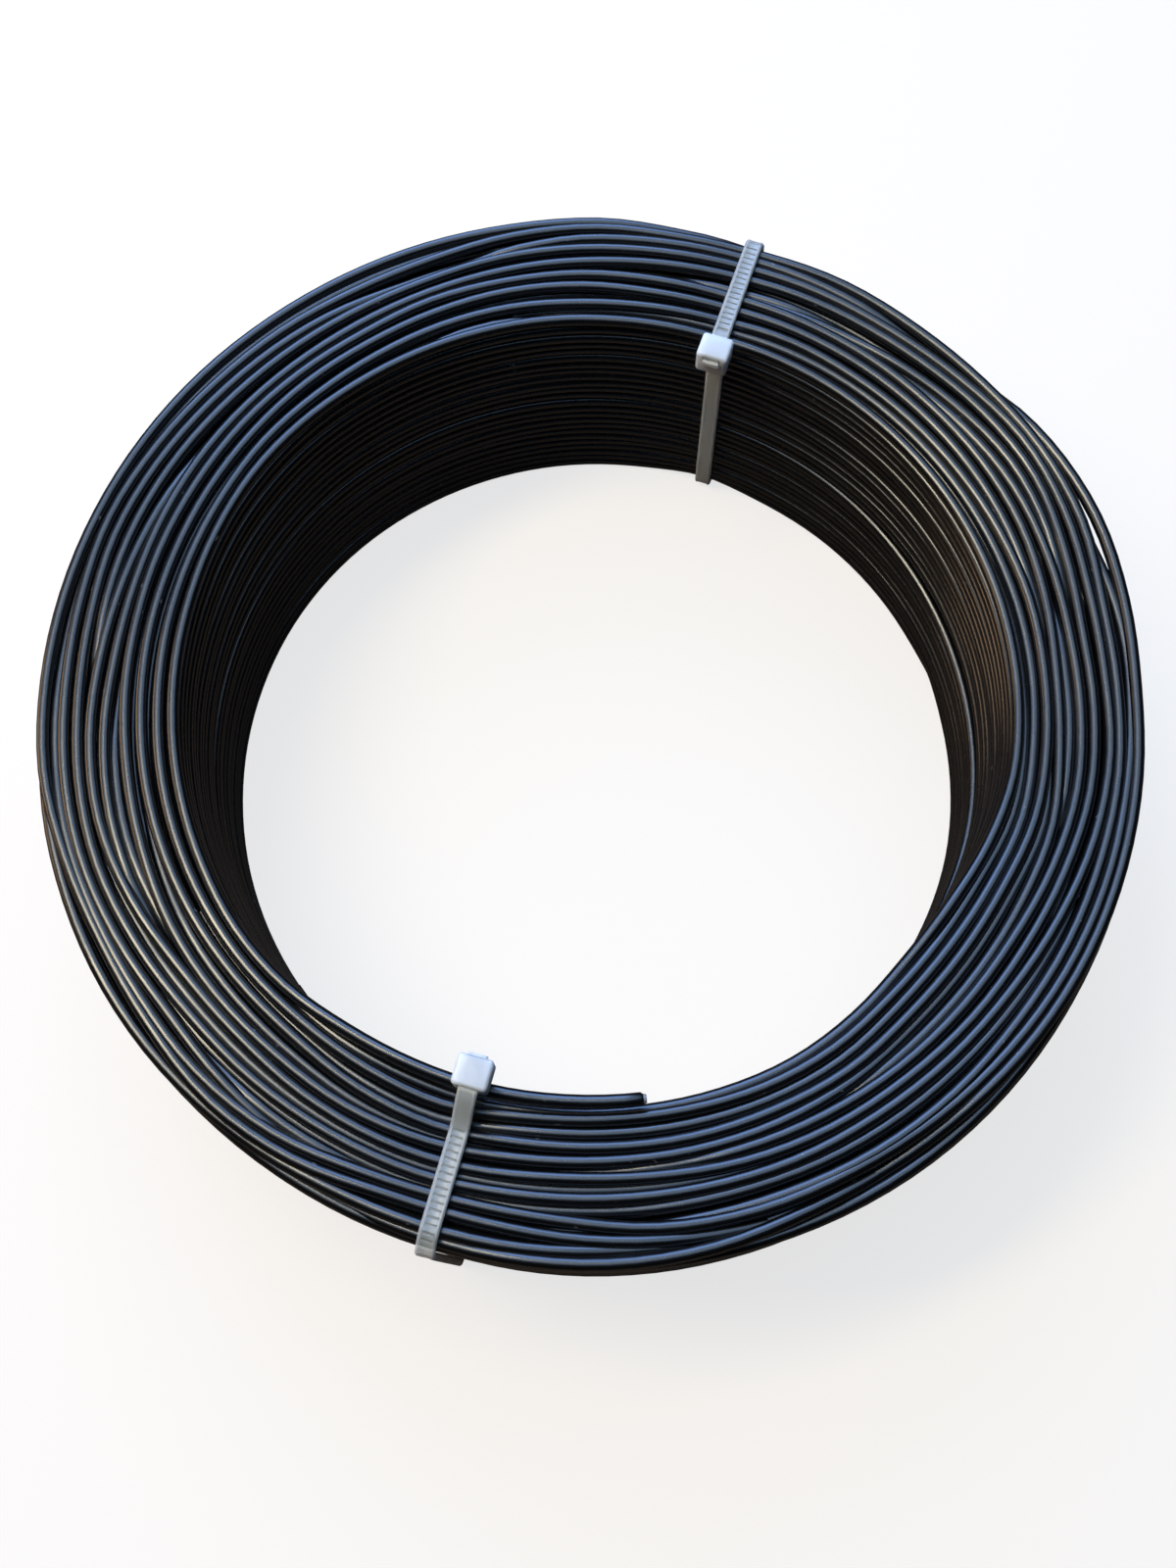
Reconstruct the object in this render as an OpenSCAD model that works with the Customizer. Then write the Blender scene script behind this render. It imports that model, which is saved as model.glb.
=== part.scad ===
// Coil of plastic filament, wound in layers and tied with two cable ties.
// The coil lies on its end with its axis along +Z. The origin is the centre
// of its underside, and the back of the coil points along +Y.
// All sizes are in millimetres and all angles in degrees.

/* [Strand] */
// Diameter of the strand
strand_d = 1.75; // [1.5:0.05:2.2]

/* [Coil] */
// Diameter of the bore, across the innermost turns
bore_d = 113; // [80:1:160]
// Layers of turns, counted from the bore outwards
layer_count = 10; // [5:1:16]
// Slack between neighbouring layers
layer_slack = 0.22; // [0.05:0.01:0.4]
// Turns in one layer, counted from the floor up
turn_count = 24; // [12:1:40]
// Slack between neighbouring turns of a layer
turn_slack = 0; // [0:0.01:0.2]
// Height by which the lowest turns are flattened where they bear
bearing_press = 0.04; // [0.02:0.01:0.1]

/* [Free end] */
// Angle at which the free end starts to leave the innermost layer
tail_start_angle = -153; // [-156:1:-151]
// Angle of the cut end
tail_end_angle = -85; // [-95:1:-75]
// How far inside the innermost turn the cut end's centre lies
tail_inset = 1.75; // [1.6:0.05:1.9]
// How far above the topmost turn the cut end's centre lies
tail_rise = 1.2; // [1:0.05:1.6]

/* [Cable ties] */
// Angle of the tie at the back
back_tie_angle = 69.7; // [50:0.1:90]
// Angle of the tie at the front
front_tie_angle = -107; // [-120:0.1:-100]
// Width of the strap
strap_w = 2.5; // [2.2:0.1:3.6]
// Thickness of the strap
strap_t = 1; // [0.8:0.05:1.3]
// Gap between the strap and the turns that it holds
seat_gap = 0.1; // [0.08:0.01:0.2]
// Gap between a tie's head and the turns that it lies against
head_gap = 0.25; // [0.2:0.05:0.5]
// Gap between the strap's underside and the floor
floor_gap = 0.1; // [0.05:0.05:0.3]
// Distance from one tooth of the strap to the next
tooth_pitch = 0.9; // [0.8:0.05:1.5]
// Length of the notch between two teeth
notch_l = 0.4; // [0.25:0.05:0.6]
// Depth of the notch between two teeth
notch_depth = 0.3; // [0.1:0.05:0.45]
// Width of the toothed track between the strap's two rails
track_w = 1.6; // [1.2:0.1:1.9]

/* [Tie heads] */
// Width of the head, across the strap
head_w = 4.9; // [4.5:0.1:7]
// Length of the head, along the strap that runs through it
head_l = 4; // [3.4:0.1:5]
// Height of the head above the strap that runs through it
head_above = 1.1; // [0.9:0.1:1.8]
// Height of the head below the strap that runs through it
head_below = 2.2; // [2:0.1:3.5]
// Radius of the head's rounded edges
head_round = 0.8; // [0.3:0.05:0.8]
// Clearance round the strap in the head's slot
slot_gap = 0.12; // [0.08:0.01:0.2]
// Height of the room for the pawl above the strap
pawl_room = 0.55; // [0.4:0.05:0.7]
// Length of the strap's cut end past the head
stub_l = 0.4; // [0.2:0.1:2]
// Width by which the front head lies over the free end
front_head_lap = 0.75; // [0.5:0.05:1.5]
// Length over which the front strap rises to its head
front_rise_l = 4.6; // [3.5:0.1:8]

/* [Hidden] */

// Facets of a strand's section, and of a full turn of the coil
strand_fn = 32;
turn_fn = 180;
// Facets of the small rounds on the ties
tie_fn = 32;
// Length by which a cut runs past the surface that it opens
overrun = 1;
// Depth of the groove between two turns, as a share of the strand's radius
groove_share = 0.6;
// Width of the pawl as a share of the toothed track
pawl_w_share = 0.85;
// Length of the pawl as a share of the head's length
pawl_l_share = 0.7;
// Depth to which the free end's start lies inside the coil, as a share of the strand's radius
tail_sink_share = 0.72;

strand_r = strand_d / 2;
layer_pitch = strand_d + layer_slack;
turn_pitch = strand_d + turn_slack;
groove_depth = groove_share * strand_r;

bore_r = bore_d / 2;
coil_h = strand_d + (turn_count - 1) * turn_pitch - bearing_press;
coil_r = bore_r + strand_d + (layer_count - 1) * layer_pitch;

// Centre lines of the innermost and outermost layers, and of the lowest and topmost turns
inner_line = bore_r + strand_r;
outer_line = coil_r - strand_r;
low_line = strand_r - bearing_press;
top_line = coil_h - strand_r;

// Free end: a circular arc, off centre and tilted, that starts inside the coil's top inner edge
tail_sweep = tail_end_angle - tail_start_angle;
tail_sink = tail_sink_share * strand_r;
tail_start_r = inner_line + tail_sink;
tail_start_z = top_line - tail_sink;
tail_end_r = inner_line - tail_inset;
tail_end_z = top_line + tail_rise;
tail_shift = (pow(tail_start_r, 2) - pow(tail_end_r, 2))
    / (2 * (tail_start_r - tail_end_r * cos(tail_sweep)));
tail_arc_r = tail_start_r - tail_shift;
tail_tilt = atan((tail_end_z - tail_start_z) / (tail_end_r * sin(tail_sweep)));
tail_arc_sweep = atan2(tail_end_r * sin(tail_sweep), tail_end_r * cos(tail_sweep) - tail_shift);

// Distance of the free end's centre line from the coil's axis, and its height, at an angle past its start
function tail_line_r(angle) =
    tail_shift * cos(angle) + sqrt(pow(tail_arc_r, 2) - pow(tail_shift * sin(angle), 2));
function tail_line_z(angle) = tail_start_z + tail_line_r(angle) * sin(angle) * tan(tail_tilt);

// A strap bends round the centre of each corner turn, clear of the turn itself
bend_r = strand_r + seat_gap;
strap_low_line = floor_gap + strap_t + bend_r;
head_line = strand_r + head_gap;
seat_angle = 2 * asin((strap_w / 2 + slot_gap) / bore_r);
front_tail_angle = front_tie_angle + seat_angle / 2 - tail_start_angle;

// Place of the free end at the edge of the front strap where it lies furthest in and highest, as
// distance from the axis and height
front_tail = [tail_line_r(front_tail_angle), tail_line_z(front_tail_angle)];

// Corners that each strap bends round, as distance from the axis and height: inner low, outer low,
// outer top and inner top. The front strap passes inside the free end.
function strap_corners(inner_top) = [
    [inner_line, strap_low_line],
    [outer_line, strap_low_line],
    [outer_line, top_line],
    inner_top
];
back_corners = strap_corners([inner_line, top_line]);
front_corners = strap_corners([front_tail.x, top_line]);

// Corner of each head where the strap enters it, under its slot. The back head hangs against the
// innermost turns, level with the strap. The front head sits on the free end, and its strap rises to it.
back_head = [inner_line - head_line, top_line + bend_r];
front_head = [front_tail.x - strand_r + front_head_lap, front_tail.y + head_line + head_below];

// Unit normal that points out of the edge from point p to point q of a loop drawn anticlockwise
function edge_normal(p, q) = [q.y - p.y, p.x - q.x] / norm(q - p);

// Round a loop of corners: the outline that lies a radius outside it
module rounded_loop(corners, radius) {
    count = len(corners);
    polygon([
        for (i = [0 : count - 1])
            let (last = corners[(i + count - 1) % count], this = corners[i], next = corners[(i + 1) % count])
                for (normal = [edge_normal(last, this), edge_normal(this, next)])
                    this + radius * normal
    ]);
    for (corner = corners)
        translate(corner) circle(radius, $fn = tie_fn);
}

module rounded_rectangle(size, radius) {
    translate([radius, 0]) square([size.x - 2 * radius, size.y]);
    translate([0, radius]) square([size.x, size.y - 2 * radius]);
    for (x = [radius, size.x - radius], y = [radius, size.y - radius])
        translate([x, y]) circle(radius, $fn = tie_fn);
}

// Half section of the winding: the turns round its edge, and the hidden turns as one filling
module winding_section() {
    intersection() {
        union() {
            translate([bore_r + groove_depth, groove_depth])
                square([coil_r - bore_r - 2 * groove_depth, coil_h - 2 * groove_depth]);
            for (layer = [0 : layer_count - 1], z = [low_line, top_line])
                translate([inner_line + layer * layer_pitch, z]) circle(strand_r, $fn = strand_fn);
            for (turn = [1 : turn_count - 2], r = [inner_line, outer_line])
                translate([r, low_line + turn * turn_pitch]) circle(strand_r, $fn = strand_fn);
        }
        square([coil_r + overrun, coil_h + overrun]);
    }
}

// What a strap takes away where it has pulled into the turns
module strap_seat(angle, corners) {
    rotate([0, 0, angle - seat_angle / 2])
        rotate_extrude(angle = seat_angle, $fn = turn_fn)
            difference() {
                translate([bore_r - overrun, -overrun])
                    square([coil_r - bore_r + 2 * overrun, coil_h + 2 * overrun]);
                rounded_loop(corners, (strand_r + bend_r) / 2);
            }
}

// The strand's inner end, which comes off the innermost layer and is cut square
module free_end() {
    rotate([0, 0, tail_start_angle])
        translate([tail_shift, 0, tail_start_z])
            rotate([tail_tilt, 0, 0])
                rotate_extrude(angle = tail_arc_sweep, $fn = turn_fn)
                    translate([tail_arc_r, 0]) circle(strand_r, $fn = strand_fn);
}

module coil() {
    color("#17191d") {
        difference() {
            rotate_extrude($fn = turn_fn) winding_section();
            strap_seat(back_tie_angle, back_corners);
            strap_seat(front_tie_angle, front_corners);
        }
        free_end();
    }
}

// The plane of a strap's loop: x runs outwards from the coil's axis, y up, and z across the strap
module in_tie_plane(angle) {
    rotate([0, 0, angle]) rotate([90, 0, 0]) children();
}

// Frame of one run of the strap: x along the run from p to q, and the strap on the side of -y
module along_run(p, q) {
    translate(p) rotate(atan2(q.y - p.y, q.x - p.x)) children();
}

// Place on the top run of the strap, between its bends, where it leaves the turns for the head
function leave_point(corners, head, rise_l) = [head.x + rise_l, corners[3].y];

module strap_outline(corners, head, rise_l) {
    reach = bend_r + strap_t + overrun;
    leave = leave_point(corners, head, rise_l) + [0, bend_r];
    mitre = [strap_t * tan(atan((head.y - leave.y) / rise_l) / 2), strap_t];
    cut_end = head - [head_l + stub_l, 0];
    stem_l = head.y - head_below - corners[3].y;
    difference() {
        rounded_loop(corners, bend_r + strap_t);
        rounded_loop(corners, bend_r);
        translate([corners[3].x - reach, corners[3].y])
            square([leave.x - corners[3].x + reach, reach]);
    }
    polygon([cut_end, head, leave, leave + mitre, head + mitre, cut_end + [0, strap_t]]);
    if (stem_l > 0)
        translate([corners[3].x - bend_r - strap_t, corners[3].y]) square([strap_t, stem_l + strap_t]);
}

// Notches between the teeth, along one run of the strap
module notches(p, q) {
    run = norm(q - p);
    notch_count = floor((run - notch_l) / tooth_pitch);
    along_run(p, q)
        for (i = [0 : notch_count])
            translate([i * tooth_pitch, -bend_r - strap_t - overrun])
                square([notch_l, notch_depth + overrun]);
}

module strap(corners, head, rise_l) {
    difference() {
        linear_extrude(strap_w, center = true) strap_outline(corners, head, rise_l);
        linear_extrude(track_w, center = true) {
            notches(corners[1], corners[2]);
            notches(corners[2], leave_point(corners, head, rise_l));
        }
    }
}

// Moulded head, with x towards the coil, y up and its corner where the strap enters under the slot
module head_block() {
    head_h = head_below + strap_t + head_above;
    translate([-head_l, -head_below]) {
        intersection() {
            linear_extrude(head_w, center = true) rounded_rectangle([head_l, head_h], head_round);
            translate([0, head_h, -head_w / 2]) rotate([90, 0, 0])
                linear_extrude(head_h) rounded_rectangle([head_l, head_w], head_round);
        }
    }
}

module head_slot() {
    translate([-head_l - overrun, -slot_gap])
        linear_extrude(strap_w + 2 * slot_gap, center = true)
            square([head_l + 2 * overrun, strap_t + 2 * slot_gap]);
    translate([-head_l - overrun, 0])
        linear_extrude(track_w, center = true)
            square([head_l * pawl_l_share + overrun, strap_t + pawl_room]);
}

// Tongue that hangs from the slot's roof and catches the teeth
module pawl() {
    tip = strap_t + slot_gap / 2;
    root = strap_t + pawl_room + slot_gap;
    linear_extrude(track_w * pawl_w_share, center = true)
        polygon([
            [-head_l * (1 - pawl_l_share), root],
            [-head_l * pawl_l_share, root],
            [-head_l * pawl_l_share, tip],
            [-head_l / 2, tip]
        ]);
}

module cable_tie(angle, corners, head, rise_l) {
    color("#e6ecee")
        in_tie_plane(angle) {
            strap(corners, head, rise_l);
            translate(head) {
                difference() {
                    head_block();
                    head_slot();
                }
                pawl();
            }
        }
}

module tie_back() {
    cable_tie(back_tie_angle, back_corners, back_head, head_line);
}

module tie_front() {
    cable_tie(front_tie_angle, front_corners, front_head, front_rise_l);
}

coil();
tie_back();
tie_front();
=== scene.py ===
# %% [markdown]
# # A coil of black plastic filament, bound by two cable ties
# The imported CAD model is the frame: the coil lies on its end, with its axis upright and the middle of its
# underside at the origin. The CAD coil is one turned solid, which is right for physics and too smooth for
# the eye. Here its turns are laid one by one, as curves with a round section, and the ties are modelled
# again as mouldings that fit those turns.

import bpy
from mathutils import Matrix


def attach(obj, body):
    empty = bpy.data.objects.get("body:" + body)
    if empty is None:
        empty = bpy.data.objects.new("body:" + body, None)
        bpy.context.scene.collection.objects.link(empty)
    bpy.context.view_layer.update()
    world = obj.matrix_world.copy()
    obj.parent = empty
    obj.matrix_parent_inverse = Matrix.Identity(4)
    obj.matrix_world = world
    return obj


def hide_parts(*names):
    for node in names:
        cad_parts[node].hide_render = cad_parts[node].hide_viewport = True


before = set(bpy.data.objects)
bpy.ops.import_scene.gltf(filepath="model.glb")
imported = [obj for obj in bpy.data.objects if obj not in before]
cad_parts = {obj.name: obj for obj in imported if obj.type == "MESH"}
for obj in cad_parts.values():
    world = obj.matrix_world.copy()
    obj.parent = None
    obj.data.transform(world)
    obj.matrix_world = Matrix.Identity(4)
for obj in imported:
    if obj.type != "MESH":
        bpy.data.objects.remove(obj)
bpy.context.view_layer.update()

# %% Tools
import math

import bmesh
import bpy
from mathutils import Matrix, Quaternion, Vector

scene = bpy.context.scene
scene.view_settings.view_transform = "Standard"
MM = 0.001
print("View transform:", scene.view_settings.view_transform)

# %% [markdown]
# ## Camera
# The photo looks down into the bore from the front, from about a hand's length above the coil, so the near
# rim is larger than the far one. A camera could be aimed with a constraint, but a direction and a small
# roll about it say the same in two lines and leave nothing live in the scene. The winding is thicker at the
# front than at the back, because its outer turns are loose there, so its bore sits a little behind the
# coil's middle. The camera is placed from the bore.

# %% Camera
BORE_SHIFT = 0.5
CAMERA_PLACE = Vector((0, -79.95, 241.43))
CAMERA_AIM = Vector((-0.0048, 0.3114, -0.9503))
CAMERA_ROLL = -2.37
CAMERA_LENS = 36.39
bore_middle = Vector((0, BORE_SHIFT, 0))

camera = bpy.data.objects.new("camera", bpy.data.cameras.new("camera"))
camera.data.lens = CAMERA_LENS
camera.data.clip_start = 0.01
camera.location = (bore_middle + CAMERA_PLACE) * MM
roll = Quaternion((0, 0, 1), math.radians(CAMERA_ROLL))
camera.rotation_mode = "QUATERNION"
camera.rotation_quaternion = CAMERA_AIM.to_track_quat("-Z", "Y") @ roll
scene.collection.objects.link(camera)
scene.camera = camera
print("Camera at", tuple(camera.location), "lens", camera.data.lens)

# %% [markdown]
# ## Where a turn lies
# Every point of the strand is easiest to name as a shop would: an angle round the coil, a distance from the
# bore's middle and a height. One helper turns that into a place in the frame, in metres. A second one reads
# a list of given values on a smooth curve, and a third eases from one height to the next.

# %% Places on the winding
STRAND = 1.75
STRAND_R = STRAND / 2
TOP_LINE = 41.085
LOW_LINE = 0.875
POINT_STEP = 2.5
FIRST_LAYER_R = 57.4


def on_winding(angle, radius, height):
    turn = math.radians(angle)
    return (bore_middle + Vector((radius * math.cos(turn), radius * math.sin(turn), height))) * MM


def smooth_value(values, place):
    last = len(values) - 1
    i = min(max(int(place), 0), last - 1)
    t = place - i
    before, here = values[max(i - 1, 0)], values[i]
    there, after = values[i + 1], values[min(i + 2, last)]
    bend = 2 * before - 5 * here + 4 * there - after
    twist = 3 * here - before - 3 * there + after
    return here + 0.5 * t * ((there - before) + t * (bend + t * twist))


def ease(t):
    t = min(max(t, 0), 1)
    return t * t * (3 - 2 * t)


def eased_height(dips, gone):
    if gone <= dips[0][0]:
        return dips[0][1]
    for (a, low), (b, high) in zip(dips, dips[1:]):
        if gone <= b:
            return low + (high - low) * ease((gone - a) / (b - a))
    return dips[-1][1]


print("A point on the innermost top turn:", tuple(on_winding(0, FIRST_LAYER_R, TOP_LINE)))

# %% [markdown]
# ## The outline of the winding
# A wound coil is never quite round, and least so at its top, where the turns are loose. Two lists give the
# middle of the innermost and of the outermost turns there, every 15 degrees, clockwise from the left-hand
# side: the bore pushes in at the right of the front, and the outer turns stand out at the front. They are
# read as closed rings. Further down, the winding is as round as the spool that it was wound on.

# %% Outline of the winding
INNER_RING = [57.1, 57.4, 58.0, 58.2, 57.9, 57.7, 57.6, 57.3, 57.2, 57.3, 57.3, 57.3,
              57.3, 57.3, 56.1, 55.6, 56.9, 57.3, 57.4, 57.7, 57.8, 57.6, 57.3, 57.2]
OUTER_RING = [74.6, 74.6, 74.6, 74.6, 74.5, 74.5, 74.4, 73.8, 73.4, 73.2, 73.5, 72.2,
              73.7, 73.4, 73.7, 74.5, 75.2, 75.5, 75.6, 75.5, 75.0, 74.7, 74.9, 74.9]
ROUND_INNER, ROUND_OUTER = 57.3, 74.9
INNER_LOOSE_H, OUTER_LOOSE_H = 30, 9
INNER_TIDIED = 0.7
LAYERS = 10


def ring_value(ring, angle):
    place = ((180 - angle) % 360) / 360 * len(ring)
    wrapped = ring[-2:] + ring + ring[:3]
    return smooth_value(wrapped, place + 2)


def inner_radius(angle, height):
    loose = 1 - INNER_TIDIED * ease((TOP_LINE - height) / INNER_LOOSE_H)
    return ROUND_INNER + (ring_value(INNER_RING, angle) - ROUND_INNER) * loose


def outer_radius(angle, height):
    loose = 1 - ease((TOP_LINE - height) / OUTER_LOOSE_H)
    tidy = ROUND_OUTER - BORE_SHIFT * math.sin(math.radians(angle))
    return tidy + (ring_value(OUTER_RING, angle) - tidy) * loose


def layer_radius(angle, layer, height):
    inner, outer = inner_radius(angle, height), outer_radius(angle, height)
    return inner + (outer - inner) * layer / (LAYERS - 1)


print("Wall at the front:", round(outer_radius(-90, TOP_LINE) - inner_radius(-90, TOP_LINE), 2), "mm")

# %% [markdown]
# ## Where the ties nip the turns
# Each tie pulls the turns under it a little together, most at the underside, where the strap lies sunken
# so that the coil still stands on its turns. A bell-shaped falloff round each tie's angle gives that. The
# turns of the top end and those at the floor have their own depth of it in millimetres, and their own
# width in degrees.

# %% Nip of the ties
TIE_ANGLES = {"tie_back": 69.7, "tie_front": -107.0}
TOP_NIP, TOP_NIP_W = 0.2, 5
FLOOR_NIP, FLOOR_NIP_W, FLOOR_NIP_H = 1.24, 7, 3


def nip(angle, width):
    total = 0
    for tie_angle in TIE_ANGLES.values():
        off = (angle - tie_angle + 180) % 360 - 180
        total += math.exp(-((off / width) ** 2))
    return total


front_nip = [round(nip(TIE_ANGLES["tie_front"] + off, TOP_NIP_W), 2) for off in (0, 4, 8, 16)]
print("Nip beside the front tie:", front_nip)

# %% [markdown]
# ## The turns of the top end
# The top end is what the photo shows best. The turns don't lie in neat rings there: each comes up from the
# winding, runs round for a while, and dives under a neighbour. So each run is given one by one. A run has
# the angle where it starts, its distance from the bore's middle every 10 degrees, clockwise, and its height
# against the top of the winding at some of the degrees it has gone. It starts and ends hidden under its
# neighbours. The first run is the free end, which lies on top, and the innermost turn that it belongs to.

# %% Runs of the inner turns
INNERMOST = (-85, [
    56.2, 56.2, 56.3, 56.3, 56.5, 57.2, 57.4, 57.2, 57.1,
    57.1, 57.2, 57.4, 57.8, 58.2, 58.2, 58.0, 57.9, 57.8,
    57.7, 57.4, 57.2, 57.2, 57.3, 57.3, 57.3, 57.3, 57.3,
    57.3, 57.4, 57.4, 56.6, 55.7, 55.6, 56.4, 57.1, 57.3,
    57.4, 57.6, 57.8, 57.8, 57.8, 57.6, 57.4,
], [(0, 1.2), (20, 0.95), (30, 0.7), (40, 0.35), (50, 0.05), (60, 0), (310, 0), (325, -0.9),
    (345, -1.3), (360, -1.4), (380, -1.1), (395, -1.0), (410, -1.65), (420, -2.1)])

SECOND = (60, [
    58.0, 58.1, 58.1, 58.1, 58.1, 58.3, 58.3, 58.5, 58.5,
    57.4, 57.1, 57.3, 58.1, 58.4, 58.3, 58.3, 58.6, 59.4,
    59.2, 59.0, 59.1, 59.1, 59.1, 59.1, 59.1, 59.3, 59.5,
    59.8, 60.2, 60.2, 60.4, 60.7, 60.7, 60.3, 60.1, 60.2,
    60.7, 60.7, 60.8, 60.9, 61.1, 61.3, 61.2, 61.3, 61.3,
    60.5, 60.3, 60.5, 61.3, 61.5, 61.7, 61.7, 61.8, 62.2,
    61.8, 61.1, 61.0, 61.1, 61.2, 61.3, 61.4, 61.6, 61.8,
    62.1, 62.4, 62.7, 62.8, 63.2, 63.5, 63.3, 62.6, 62.5,
    62.7, 62.8, 62.8, 62.7, 62.4, 62.2, 62.0, 62.3, 62.6,
    61.8, 61.6, 61.8, 62.6, 63.1, 63.3, 63.4, 63.7, 64.3,
    64.5, 64.2, 64.2, 64.1, 63.7, 63.5, 63.6, 63.7, 64.0,
    64.2, 64.5, 64.6, 64.7, 65.3, 65.3, 65.3, 64.8, 64.5,
    64.5, 64.6, 64.6, 64.6, 64.3, 63.5, 62.8, 63.0, 63.7,
    63.4, 63.3, 63.4, 63.8, 64.2, 64.4,
], [(0, -1.8), (10, -1.6), (40, -1.45), (60, -1.35), (80, -1.1), (95, -0.7), (110, 0), (760, 0),
    (775, -0.9), (785, -1.6), (792, -1.4), (800, -1.0), (815, -0.8), (832, -0.8), (850, 0),
    (1165, 0), (1180, -0.6), (1195, -0.9), (1205, -1.6), (1220, -1.8)])

INNER_RUNS = [
    (100, [60.5, 60.0, 59.6, 59.3, 59.5, 59.7, 59.7, 59.7, 59.7,
           59.7, 59.7, 59.7, 59.8, 59.0, 58.6, 58.8, 59.7, 60.0,
           60.0, 60.0, 60.2, 61.0, 60.7, 60.1, 60.0, 60.2],
     [(0, -1.8), (15, -1.2), (30, -0.8), (80, -0.8), (100, -0.7), (125, -0.7), (145, -0.2), (170, -0.4),
      (195, -0.5), (215, -1.1), (230, -1.4), (240, -1.75), (250, -1.9)]),
    (-98, [62.8, 63.3, 63.4, 62.9, 62.7, 62.6, 62.3, 62.0],
     [(0, -1.8), (10, -1.3), (22, -1.0), (50, -0.8), (60, -1.2), (70, -1.8)]),
    (118, [58.6, 58.8, 58.8, 58.8, 58.7],
     [(0, -1.8), (10, -0.6), (15, -0.6), (24, -1.6), (40, -1.9)]),
]
print("Inner runs:", 2 + len(INNER_RUNS))

# %% Runs of the middle turns
MIDDLE_RUNS = [
    (-145, [66.1, 66.4, 66.6, 66.3, 65.6, 65.5, 65.8, 66.1, 66.2,
            66.3, 66.6, 67.0, 67.4, 67.6, 67.9, 68.3, 68.6, 69.0,
            69.7, 69.8, 68.4, 67.3, 67.5, 67.6, 66.9, 66.4, 66.3,
            66.2, 66.3, 66.1, 65.6, 65.5, 66.0, 66.2, 66.0, 65.6,
            65.9, 67.2, 68.2, 68.2, 67.6, 67.2, 67.0, 66.7, 66.4, 66.4],
     [(0, -1.8), (8, -1.2), (14, -0.2), (20, 0), (410, 0), (420, -0.2), (432, -0.9), (445, -1.7),
      (450, -1.8)]),
    (-142, [64.4, 64.8, 65.3, 65.2, 64.8, 64.6],
     [(0, -1.8), (10, -0.7), (18, -0.5), (30, -0.8), (38, -1.5), (50, -1.9)]),
    (-62, [66.9, 66.9, 66.8, 66.8, 67.0, 67.3, 67.2, 67.0, 67.1, 67.9, 69.0, 69.3],
     [(0, -1.9), (8, -1.3), (18, -1.0), (60, -0.8), (80, -0.8), (92, -1.4), (105, -1.9)]),
    (98, [65.5, 65.6, 65.7, 65.5, 65.6, 66.3, 67.3, 68.1, 67.4, 66.2, 65.8],
     [(0, -1.9), (12, -1.2), (30, -1.0), (42, -0.4), (52, 0), (78, 0), (85, -0.5), (94, -1.4),
      (100, -1.8)]),
    (80, [66.4, 66.2, 66.4, 67.0],
     [(0, -1.8), (8, -0.9), (18, -0.7), (25, -1.4), (30, -1.8)]),
    (55, [65.5, 65.6, 66.0, 66.3, 65.9, 65.5, 65.7, 65.9, 65.3,
          64.6, 64.5, 64.6, 64.6, 64.6, 64.5, 64.6],
     [(0, -1.8), (12, -0.7), (20, -0.2), (26, 0), (130, 0), (138, -0.7), (146, -1.5), (150, -1.8)]),
    (12, [64.7, 64.2, 64.3, 64.4, 64.2],
     [(0, -1.8), (10, -0.7), (20, -0.4), (28, -0.3), (34, -1.3), (40, -1.9)]),
    (-170, [67.9, 68.0, 68.5, 68.9, 68.9, 68.7, 68.6, 68.6, 68.8,
            69.5, 69.8, 69.8, 70.0, 70.2, 70.3, 70.9, 71.7, 71.0,
            69.7, 69.3, 69.7, 69.3, 68.5, 67.9, 67.8, 67.8, 68.0,
            67.9, 67.9, 68.0, 68.3, 68.3, 68.3, 68.3, 69.0, 69.8,
            70.0, 69.9, 70.2, 70.9, 70.8, 70.5, 70.3, 70.0, 69.9,
            70.7, 71.5, 71.5, 71.6, 71.5, 71.3, 71.6, 72.3],
     [(0, -1.8), (8, -1.4), (16, -0.3), (22, 0), (425, 0), (440, -0.9), (446, -1.2), (452, -0.3), (460, 0),
      (495, -0.1), (503, -1.0), (512, -1.7), (520, -1.9)]),
    (-25, [69.6, 69.3, 69.2, 69.3, 69.4, 69.3, 69.3, 69.3, 69.4, 69.4, 69.3, 69.2, 69.5, 70.2],
     [(0, -1.8), (9, -0.9), (15, -0.5), (55, -0.4), (65, -0.9), (80, -1.1), (110, -1.1), (122, -1.6),
      (130, -1.9)]),
    (-112, [70.0, 70.4, 70.2, 69.8],
     [(0, -1.8), (8, -0.6), (17, -0.5), (24, -1.4), (30, -1.9)]),
]
print("Middle runs:", len(MIDDLE_RUNS))

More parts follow.
